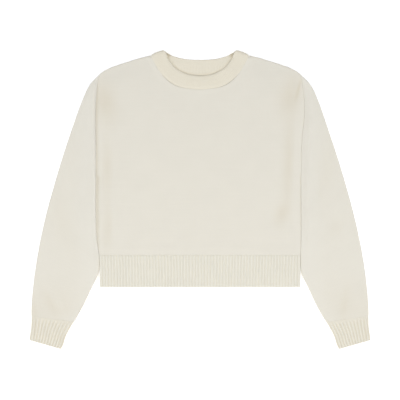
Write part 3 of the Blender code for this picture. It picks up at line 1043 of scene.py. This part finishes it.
@dataclass
class Sleeve(Piece):
    """A sleeve of plain jersey: a flattened tube from the armhole to the cuff, its rings fanned out.

    Each of its rows gives a ring's height at the outer fold and at the inner one, and how far it bends
    towards the armhole's curve. `rim` is counted in these rows.
    """

    side: Side
    creases: tuple[Crease, ...]
    ridge: float = 0.0046
    ridge_start: float = 1.0
    dip: float = 0.0013
    ring_rows: int = 150
    rim: float = 0.4
    flat: float = 0.0046
    pillow: float = 0.0010
    slope: float = 0.25
    least_width: float = 0.020
    ridge_spread: float = 0.055
    ridge_turn: float = 0.016
    ridge_clear: float = 0.28
    ridge_low: float = 0.028
    low_fade: float = 0.110
    shoulder_fade: float = 0.060
    crease_shade: float = 0.5
    low_shade: float = 0.25
    low_top: float = 0.040
    low_spread: float = 0.090
    seam_turn: float = 0.0045
    seam_low: float = 0.225
    seam_blend: float = 0.016
    edge_round: float = 0.0025
    dip_up: float = 0.058
    dip_reach: float = 0.026
    dip_width: float = 0.009
    fold_power: float = 0.9
    rows: Rows = (
        (0.444, 0.233, 1.00),
        (0.436, 0.226, 0.85),
        (0.424, 0.217, 0.65),
        (0.406, 0.205, 0.45),
        (0.383, 0.191, 0.25),
        (0.355, 0.175, 0.10),
        (0.323, 0.157, 0),
        (0.288, 0.138, 0),
        (0.250, 0.117, 0),
        (0.211, 0.095, 0),
        (0.171, 0.072, 0),
        (0.131, 0.049, 0),
        (0.095, 0.030, 0),
        (0.062, 0.012, 0),
        (0.033, -0.008, 0),
        (0.008, -0.026, 0),
        (-0.013, -0.042, 0),
        (-0.030, -0.0545, 0),
        (-0.0465, -0.0640, 0),
        (-0.0610, -0.0726, 0),
    )

    def height(self, out: Array, up: Array) -> Array:
        """Height of the upper face: low at the folds, with a ridge along the body's side.

        Beside the hem it dips at the line. Along the armhole it turns down to the body's face by a quarter
        of an ellipse.

        Args:
            out: Distances from the centre line.
            up: Heights above the hem.

        Returns:
            The height above the surface below.
        """
        line, edge = OUTLINE.side(up, self.side), OUTLINE.outer.at(up)
        from_line = out - line
        share = np.clip(from_line / np.maximum(edge - line, self.least_width), 0, 1)
        pillow = rise(np.minimum(share, 1 - share) / self.slope)
        fade = rise((SHOULDER_TIP_UP - up) / self.shoulder_fade) * rise((up - self.ridge_low) / self.low_fade)
        ridge = self.ridge * fade * (1 - rise(from_line / self.ridge_spread))
        ridge = ridge * (self.ridge_start + (1 - self.ridge_start) * rise(from_line / self.ridge_turn))
        across = self.side.value * out
        folds = creased(self.creases, across, up) + LIE.at(across, up)
        dip = self.dip * bell(up - self.dip_up, self.dip_reach) * (1 - rise(from_line / self.dip_width))
        height = self.flat + ridge + pillow * (self.pillow + folds) - dip
        inward = 1 - np.clip(from_line / self.seam_turn, 0, 1)
        at_seam = rise((up - self.seam_low) / self.seam_blend) * (1 - np.sqrt(1 - inward**2))
        return height - at_seam * (height - SEAM_TOP)

    def bowed(self, outs: Array, ups: Array, bow: Array) -> Array:
        """Rings moved towards the armhole's curve, by the share `bow` of their way there.

        Args:
            outs: Where the rings' points are.
            ups: Their heights above the hem.
            bow: Each ring's share.

        Returns:
            Where they are then.
        """
        top_up, low_up = self.rows[0][0], self.rows[0][1]
        share = (ups - low_up) / (top_up - low_up)
        low_out = OUTLINE.side(low_up, self.side)
        straight = low_out + (OUTLINE.outer.at(top_up) - low_out) * share
        beside = (share > 0) & (share < 1)
        return outs + np.where(beside, bow * (OUTLINE.side(ups, self.side) - straight), 0)

    def clear(self, across: Array, up: Array, from_line: Array) -> Array:
        """How clear the colour is of painted shade: less in a trough and towards the cuff, where shade is
        painted, and more on the ridge, as a painted highlight.

        Args:
            across: Places across the sweater.
            up: Their heights above the hem.
            from_line: How far each lies from the body's side.

        Returns:
            The clearness at each place.
        """
        # Painted highlight along the ridge; painted shade towards the cuff and in troughs.
        ridge = self.ridge_clear * (1 - rise(from_line / self.ridge_spread))
        low = self.low_shade * rise((self.low_top - up) / self.low_spread)
        return clear_of_painted_trough_shade(self.creases, across, up, self.crease_shade) + ridge - low

    def build(self) -> bpy.types.Object:
        """The sleeve, as a closed wall round its hollow.

        Returns:
            The piece.
        """
        table = np.array(self.rows)
        counted = stations(len(table) - 1.0, self.ring_rows, self.rim)
        outer_up, inner_up, bow = through(np.arange(len(table), dtype=float), table, counted).T
        outer = np.stack([OUTLINE.outer.at(outer_up), outer_up], axis=1)
        inner = np.stack([OUTLINE.side(inner_up, self.side), inner_up], axis=1)
        along = (outer - inner) / np.hypot(*(outer - inner).T)[:, None]
        first = self.height(*(inner + along * self.edge_round).T)
        last = self.height(*(outer - along * self.edge_round).T)
        upper = SLEEVE_TUBE.upper
        skins = []
        for cut in (0.0, WALL):
            rings = SLEEVE_TUBE.rings(outer, inner, (first, last), cut, self.fold_power)
            outs = self.bowed(rings.outs, rings.ups, np.clip(bow, 0, 1)[:, None])
            rings.heights[:, upper] = self.height(outs[:, upper], rings.ups[:, upper]) - cut
            middle = np.hypot(np.gradient(outs.mean(axis=1)), np.gradient(rings.ups.mean(axis=1)))
            length = np.cumsum(middle)[:, None] * np.ones_like(outs)
            knit = np.stack([rings.rounds, -length], axis=-1)
            across = self.side.value * outs
            clear = self.clear(across, rings.ups, outs - OUTLINE.side(rings.ups, self.side))
            skins.append(Skin(place(across, rings.ups, rings.heights), knit, clear))
        return self.make(wall_quads(*skins[0].relief.shape, True), skins, JERSEY)


@dataclass
class Cuff(Piece):
    """A cuff: a flattened tube, ribbed along its length on both faces.

    Each of its rows gives a ring's (out, up) at the outer fold and at the inner one, from the seam on.
    """

    side: Side
    creases: tuple[Crease, ...]
    ribs: int = 11
    ring_rows: int = 40
    flat: float = 0.0046
    rib_relief: float = 0.0013
    flat_relief: float = 0.0006
    seam_pillow: float = 0.0010
    pillow_slope: float = 0.25
    seam_fade: float = 0.012
    seam_clear: float = 0.50
    seam_round: float = 0.00015
    fold_points: int = 13
    edge_round: float = 0.0007
    rim: float = 0.0012
    rows: Rows = (
        (0.3532, -0.0611, 0.2645, -0.0727),
        (0.3532, -0.0640, 0.2667, -0.0757),
        (0.3533, -0.0755, 0.2743, -0.0886),
        (0.3543, -0.0890, 0.2820, -0.1040),
        (0.3569, -0.1065, 0.2886, -0.1240),
        (0.3570, -0.1112, 0.2920, -0.1298),
    )

    @property
    def slack(self) -> float:
        """How deep a trough may be before the two faces touch inside."""
        return self.flat - 2 * WALL - CLOSE

    def build(self) -> bpy.types.Object:
        """The cuff, as a closed wall round its hollow.

        Returns:
            The piece.
        """
        table = np.array(self.rows)
        knots = np.concatenate([[0.0], np.cumsum(np.hypot(*np.diff(table[:, 2:], axis=0).T))])
        length = stations(knots[-1], self.ring_rows, self.rim)
        edges = through(knots, table, length)
        counted = RIB_FORM.counted(self.ribs)[1:-1]
        tube = FlatTube(self.fold_points, counted / self.ribs, counted / self.ribs)
        upper = tube.upper
        under = slice(upper.stop + self.fold_points, None)
        relief = np.zeros((len(length), 2 * self.fold_points + 2 * len(counted)))
        relief[:, upper] = RIB_FORM.height(counted)
        relief[:, under] = RIB_FORM.height(counted)[::-1]
        from_seam, to_end = length[:, None], (knots[-1] - length)[:, None]
        from_sewn = rise(from_seam / self.seam_fade)
        grown = relief * from_sewn * RIB_FORM.kept(to_end, self.rim)
        drop = np.maximum(rounded(from_seam, self.seam_round), rounded(to_end, self.edge_round))
        middle = rise(np.minimum(tube.top, 1 - tube.top) / self.pillow_slope)
        fold = np.full(len(length), self.flat)
        skins = []
        for cut in (0.0, WALL):
            rings = tube.rings(edges[:, :2], edges[:, 2:], (fold, fold), cut)
            across = self.side.value * rings.outs
            folds = np.maximum(creased(self.creases, across, rings.ups)[:, upper], -self.slack)
            rings.heights[:, upper] = self.flat - cut + folds + self.seam_pillow * middle * (1 - from_sewn)
            shown = np.ones(relief.shape)
            if not cut:
                rings.heights[:, upper] += self.rib_relief * grown[:, upper] - drop
                rings.heights[:, under] += self.flat_relief * (1 - relief[:, under]) + drop
                # Painted shade in the rib's grooves and creases; near the seam, where the ribs fade,
                # seam_clear keeps part of it.
                shown = relief * from_sewn + self.seam_clear * (1 - from_sewn)
                shown = shown * clear_of_painted_trough_shade(self.creases, across, rings.ups)
            knit = np.stack([rings.rounds, -from_seam * np.ones_like(rings.rounds)], axis=-1)
            skins.append(Skin(place(across, rings.ups, rings.heights), knit, shown))
        return self.make(wall_quads(*relief.shape, True), skins, CUFF_RIB)


# ------------------------------ Neckband ------------------------------


class NeckSection(NamedTuple):
    """One section of the neckband: its free edge, its sewn edge, its turn, its crown and its sag.

    The turn is 0 on the front layer, 90 on top of the fold and 180 on the back layer.
    The crown is how far the band's middle stands above the line between its two edges.
    The sag is how far its free edge hangs into the opening.
    """

    free_out: float
    free_up: float
    seam_out: float
    seam_up: float
    turn: float
    crown: float
    sag: float


@dataclass
class Neckband(Piece):
    """The doubled band round the neck, its front half over its back half.

    Its sections run down its right side, from the middle of the front over the fold to the middle of the
    back. The left side mirrors them.
    """

    rib_pitch: float = 2 * WALE
    rib_points: int = 8
    rib_relief: float = 0.00018
    face_points: int = 22
    free_points: int = 7
    free_start: float = 0.12
    seam_points: int = 4
    seam_start: float = 0.7
    seam_radius: float = 0.0002
    edge_radius: float = 0.0017
    edge_slope: float = 0.0042
    edge_foot: float = 0.5
    edge_turn: float = 40.0
    thin_radii: float = 3.0
    sag_share: float = 0.55
    # Painted shadow in the fold and along the back layer's seam, under the front layer
    fold_shade: float = 0.70
    fold_shade_start: float = 0.0120
    fold_shade_spread: float = 0.0085
    seam_shade: float = 0.22
    seam_shade_spread: float = 0.0100
    lap: int = 3
    shoulder_end: tuple[float, float] = (0.1030, 0.4855)
    sections: tuple[NeckSection, ...] = (
        NeckSection(0.0000, 0.4433, 0.0000, 0.4140, 0, 0, 0.0008),
        NeckSection(0.0140, 0.4442, 0.0220, 0.4155, 0, 0, 0.0008),
        NeckSection(0.0290, 0.4476, 0.0420, 0.4190, 0, 0, 0.0006),
        NeckSection(0.0400, 0.4524, 0.0550, 0.4245, 0, 0, 0.0003),
        NeckSection(0.0525, 0.4605, 0.0660, 0.4320, 0, 0, 0.0001),
        NeckSection(0.0606, 0.4700, 0.0795, 0.4450, 0, 0, 0.0000),
        NeckSection(0.0680, 0.4805, 0.0920, 0.4640, 0, 0.0005, -0.0006),
        NeckSection(0.0702, 0.4880, 0.1015, 0.4825, 0, 0.0010, -0.0014),
        NeckSection(0.0735, 0.4918, 0.1017, 0.4832, 45, 0.0010, -0.0012),
        NeckSection(0.0758, 0.4930, 0.1018, 0.4835, 90, 0.0010, -0.0008),
        NeckSection(0.0722, 0.4918, 0.1017, 0.4832, 135, 0.0010, -0.0002),
        NeckSection(0.0685, 0.4905, 0.1015, 0.4825, 180, 0.0010, 0),
        NeckSection(0.0580, 0.4850, 0.0840, 0.4660, 180, 0.0010, 0),
        NeckSection(0.0450, 0.4810, 0.0580, 0.4530, 180, 0, 0),
        NeckSection(0.0300, 0.4779, 0.0300, 0.4458, 180, 0, 0),
        NeckSection(0.0000, 0.4764, 0.0000, 0.4430, 180, 0, 0),
    )

    @property
    def fold_radius(self) -> float:
        """Half the distance between the middles of the band's two layers."""
        return (BAND_WALL + SEAM_GAP) / 2

    @property
    def fold_out(self) -> float:
        """How far out the free edge folds from the front layer to the back one."""
        return max(section.free_out for section in self.sections)

    def sewn_line(self, layer: Layer) -> Line:
        """The line that a panel is sewn along: the band's sewn edge on a layer, and on to the shoulder.

        Args:
            layer: Which layer.

        Returns:
            The heights above the hem by the distance from the centre line.
        """
        table = self.ring()[0]
        turn = 0 if layer is Layer.FRONT else 180
        on_layer = table[(table[:, 2] >= 0) & (table[:, 4] == turn)]
        sewn = on_layer[np.argsort(on_layer[:, 2]), 2:4]
        sewn = sewn[:: self.rib_points // 2]
        along = np.gradient(sewn, axis=0)
        away = along[:, ::-1] * (1, -1) / np.hypot(*along.T)[:, None]
        knots = (sewn + CLOSE * away)[1:]
        knots = knots[knots[:, 0] < self.shoulder_end[0] - CLOSE]
        knots = [(0.0, sewn[0][1] - CLOSE), *knots, self.shoulder_end]
        return Line(tuple((float(out), float(up)) for out, up in knots))

    def ring(self) -> tuple[Array, Array]:
        """The band's sections all the way round, evenly spaced, with the same number to each rib.

        Returns:
            One row for each section, as a NeckSection with its sign, and the distance round to it.
        """
        mirror = np.array((-1, 1, -1, 1, 1, 1, 1))
        right = np.array(self.sections)
        left = right[-2:0:-1] * mirror
        closed = np.concatenate([right, left])
        around = np.concatenate([closed[-self.lap :], closed, closed[: self.lap + 1]])
        middle = (around[:, 0:2] + around[:, 2:4]) / 2
        steps = np.hypot(*np.diff(middle, axis=0).T)
        steps = steps + self.fold_radius * np.radians(np.abs(np.diff(around[:, 4])))
        knots = np.concatenate([[0.0], np.cumsum(steps)])
        knots -= knots[self.lap]
        total = knots[self.lap + len(closed)]
        count = round(total / self.rib_pitch) * self.rib_points
        distance = np.arange(count) / count * total
        table = through(knots, around, distance)
        table[:, 4] = np.clip(table[:, 4], 0, 180)
        return table, distance

    def profile(self, width: Array, turn: Array) -> tuple[Array, Array, Array]:
        """The closed line round one section: the outer face from free edge to seam, then the inner face.

        Both edges are round. On the front layer the free edge is rounded from above only, so that it lies
        down on the back layer. Near the seam the band is thinner.

        Args:
            width: The band's width at each section.
            turn: The section's turn, in degrees.

        Returns:
            The share of the width at each point, the height off the middle, and where ribs may show.
        """
        width = width[:, None]
        lean = 1 - rise(turn[:, None] / self.edge_turn)
        free_turns = np.linspace(self.free_start, np.pi / 2, self.free_points)
        seam_turns = np.linspace(np.pi / 2, self.seam_start, self.seam_points)
        free_end = (self.edge_radius + (self.edge_slope - self.edge_radius) * lean) / width
        near = free_end * (1 - np.cos(free_turns))
        last = 1 - self.seam_radius / width * (np.cos(self.seam_start) - np.cos(seam_turns))
        flat = free_end + (last[:, :1] - free_end) * np.linspace(0, 1, self.face_points)[1:-1]
        share = np.concatenate([near, flat, last], axis=1)
        free = np.sin(free_turns)
        rest = np.concatenate([np.ones(self.face_points - 2), np.sin(seam_turns)]) * np.ones_like(lean)
        pressed = 2 * (self.edge_foot + (1 - self.edge_foot) * free**2) - 1
        outer = np.concatenate([free + (pressed - free) * lean, rest], axis=1)
        inner = np.concatenate([free + (1 - free) * lean, rest], axis=1)
        from_seam = (1 - share) * width
        thin = BAND_SEAM_THIN + (1 - BAND_SEAM_THIN) * rise(from_seam / (self.thin_radii * self.edge_radius))
        outer, inner = BAND_WALL / 2 * outer * thin, -BAND_WALL / 2 * inner * thin
        window = rise((share * width - self.edge_radius) / self.edge_radius)
        window = window * rise((from_seam - self.edge_radius) / self.edge_radius)
        faces = ((share, share), (outer, inner), (window, window))
        share, half, window = (np.concatenate([over, below[:, ::-1]], axis=1) for over, below in faces)
        return share, half, window

    def relief(self, share: Array, width: Array, half: Array, table: Array) -> Array:
        """How clear the colour is of painted shade: a painted shadow on the back layer's upper face, in the
        fold and along the seam, under the front layer.

        Args:
            share: The share of the band's width at each point.
            width: The band's width at each section.
            half: The height off the middle at each point.
            table: The sections.

        Returns:
            The clearness at each point, 0 to 1.
        """
        from_fold = np.abs(np.abs(table[:, :1]) - self.fold_out) - self.fold_shade_start
        from_seam = (1 - share) * width[:, None]
        shade = self.fold_shade * (1 - rise(from_fold / self.fold_shade_spread))
        shade = shade + self.seam_shade * (1 - rise(from_seam / self.seam_shade_spread))
        return 1 - shade * rise(table[:, 4:5] / 180) * (half < 0)

    def build(self) -> bpy.types.Object:
        """The band, as one closed ring, its fine rib a raised cosine round it.

        Returns:
            The piece.
        """
        table, distance = self.ring()
        free, seam = table[:, 0:2], table[:, 2:4]
        turn = np.radians(table[:, 4])[:, None]
        width = np.hypot(*(seam - free).T)
        share, half, window = self.profile(width, table[:, 4])
        rib = 0.5 - 0.5 * np.cos(2 * np.pi * np.arange(len(table)) / self.rib_points)
        half = half + np.sign(half) * self.rib_relief * (rib[:, None] - 1) * window
        across = free[:, :1] + (seam - free)[:, :1] * share
        crown, sag = table[:, 5:6], table[:, 6:7]
        up = free[:, 1:] + (seam - free)[:, 1:] * share + crown * np.sin(np.pi * share)
        reach = self.fold_radius + half
        height = BAND_WALL + SEAM_GAP / 2 + reach * np.cos(turn) - sag * (1 - rise(share / self.sag_share))
        points = place(across, up + reach * np.sin(turn), np.maximum(height, 0))
        knit = np.stack(np.broadcast_arrays(distance[:, None], share * width[:, None]), axis=-1)
        faces = quads(np.arange(share.size).reshape(share.shape), True, True)
        skin = Skin(points, knit, self.relief(share, width, half, table))
        return self.make(faces, [skin], BAND, "front_jersey", "back_jersey")


# ------------------------------ Studio ------------------------------


@dataclass(frozen=True)
class Lamp:
    """A round soft lamp that points at the sweater's middle: place and size in metres, watts and colour."""

    name: str
    place: tuple[float, float, float]
    size: float
    power: float
    colour: Colour

    def hang(self) -> None:
        """Puts the lamp in its place."""
        data = bpy.data.lights.new(self.name, "AREA")
        data.shape = "DISK"
        data.size = self.size
        data.energy = self.power
        data.color = self.colour
        lamp = bpy.data.objects.new(self.name, data)
        lamp.location = self.place
        lamp.rotation_euler = (-lamp.location).to_track_quat("-Z", "Y").to_euler()
        bpy.context.scene.collection.objects.link(lamp)


@dataclass
class Studio:
    """A plain pale floor, soft light and a camera that looks straight down. Lens and sensor are in mm."""

    frame_width: float = 0.840
    lens: float = 85.0
    sensor: float = 36.0
    floor_half: float = 6.0
    floor_drop: float = 0.0002
    paper: PaperFinish = PaperFinish()
    sky: Colour = (1.0, 1.0, 1.0)
    sky_strength: float = 0.34
    lamps: tuple[Lamp, ...] = (
        Lamp("left_softbox", (-3.0, -0.30, 1.73), 1.90, 40.0, (0.88, 1.00, 1.20)),
        Lamp("right_softbox", (3.0, -0.30, 1.73), 1.90, 40.0, (0.88, 1.00, 1.20)),
        Lamp("overhead", (0.0, -0.70, 2.40), 1.60, 27.5, (1.08, 1.00, 0.88)),
    )

    def floor(self) -> None:
        """The floor: one square sheet, just below what lies on it."""
        corners = np.array(((-1, -1), (1, -1), (1, 1), (-1, 1))) * self.floor_half
        mesh = bpy.data.meshes.new("floor")
        mesh.from_pydata([(*corner, -self.floor_drop) for corner in corners], [], [(0, 1, 2, 3)])
        mesh.materials.append(self.paper.material())
        floor = bpy.data.objects.new("floor", mesh)
        bpy.context.scene.collection.objects.link(floor)

    def light(self) -> None:
        """The light: an even pale sky, and the lamps."""
        world = bpy.data.worlds.new("sky")
        world.use_nodes = True
        background = world.node_tree.nodes["Background"]
        background.inputs["Color"].default_value = (*self.sky, 1.0)
        background.inputs["Strength"].default_value = self.sky_strength
        bpy.context.scene.world = world
        for lamp in self.lamps:
            lamp.hang()

    def camera(self) -> None:
        """The camera: straight above the middle, as far up as shows the frame's width."""
        data = bpy.data.cameras.new("camera")
        data.lens = self.lens
        data.sensor_width = self.sensor
        made = bpy.data.objects.new("camera", data)
        made.location = (0.0, 0.0, self.frame_width * self.lens / self.sensor)
        bpy.context.scene.collection.objects.link(made)
        bpy.context.scene.camera = made

    def build(self) -> None:
        """The whole studio, and colours shown as they are."""
        self.floor()
        self.light()
        self.camera()
        bpy.context.scene.view_settings.view_transform = "Standard"


# ------------------------------ The sweater ------------------------------

LEFT_CREASES = (
    Crease(-0.311, -0.035, 0.030, 0.009, -28, -0.0009),
    Crease(-0.281, -0.044, 0.014, 0.012, 0, -0.0006),
    Crease(-0.347, -0.054, 0.020, 0.007, -6, -0.0010),
    Crease(-0.296, -0.028, 0.028, 0.009, -28, 0.0005),
    Crease(-0.290, 0.140, 0.070, 0.018, -16, -0.0005),
)
RIGHT_CREASES = (
    Crease(0.303, -0.036, 0.034, 0.009, 8, -0.0009),
    Crease(0.320, -0.034, 0.030, 0.010, 10, 0.0005),
    Crease(0.283, 0.124, 0.016, 0.014, 0, -0.0006),
    Crease(0.262, 0.240, 0.070, 0.016, 14, -0.0005),
)
LEFT_CUFF_CREASES = (
    Crease(-0.346, -0.088, 0.026, 0.005, -4, -0.0008),
    Crease(-0.289, -0.112, 0.018, 0.005, 12, -0.0008),
    Crease(-0.317, -0.120, 0.012, 0.003, 4, -0.0007),
)
RIGHT_CUFF_CREASES = (
    Crease(0.348, -0.092, 0.024, 0.005, 3, -0.0006),
    Crease(0.293, -0.114, 0.016, 0.004, -12, -0.0006),
)


def sweater() -> list[BodyPanel | HemRib | Sleeve | Cuff | Neckband]:
    """The sweater's pieces, from the bottom layer up.

    The right sleeve's ridge is lower than the left one's, starts lower at the line, and has no dip.

    Returns:
        The pieces, not yet built.
    """
    body, hem, sleeve = Cut(0.436, 0.419, 0.172), Cut(0.420, 0.067, 0.0281), Cut(0.430, 0.470, 0.095)
    cuff, band = Cut(0.172, 0.057, 0.0089), Cut(0.470, 0.030, 0.0135)
    neckband = Neckband("neck_band", "neckband", band)
    back_neck, front_neck = neckband.sewn_line(Layer.BACK), neckband.sewn_line(Layer.FRONT)
    right = {"ridge": 0.0042, "ridge_start": 0.25, "dip": 0.0}
    return [
        BodyPanel("back_jersey", "back_panel", body, Layer.BACK, back_neck, columns=121, rows=110),
        HemRib("back_hem", "hem_rib_back", hem, Layer.BACK, rows=26),
        BodyPanel("front_jersey", "front_panel", body, Layer.FRONT, front_neck, columns=201, rows=190),
        HemRib("front_hem", "hem_rib_front", hem, Layer.FRONT, rows=44),
        neckband,
        Sleeve("left_sleeve", "sleeve_left", sleeve, Side.LEFT, LEFT_CREASES),
        Sleeve("right_sleeve", "sleeve_right", sleeve, Side.RIGHT, RIGHT_CREASES, **right),
        Cuff("left_cuff", "cuff_left", cuff, Side.LEFT, LEFT_CUFF_CREASES),
        Cuff("right_cuff", "cuff_right", cuff, Side.RIGHT, RIGHT_CUFF_CREASES),
    ]


def main() -> None:
    """Builds the studio and the sweater, piece by piece."""
    logging.basicConfig(level=logging.INFO, format="%(message)s")
    Studio().build()
    for piece in sweater():
        piece.build()


if __name__ == "__main__":
    main()
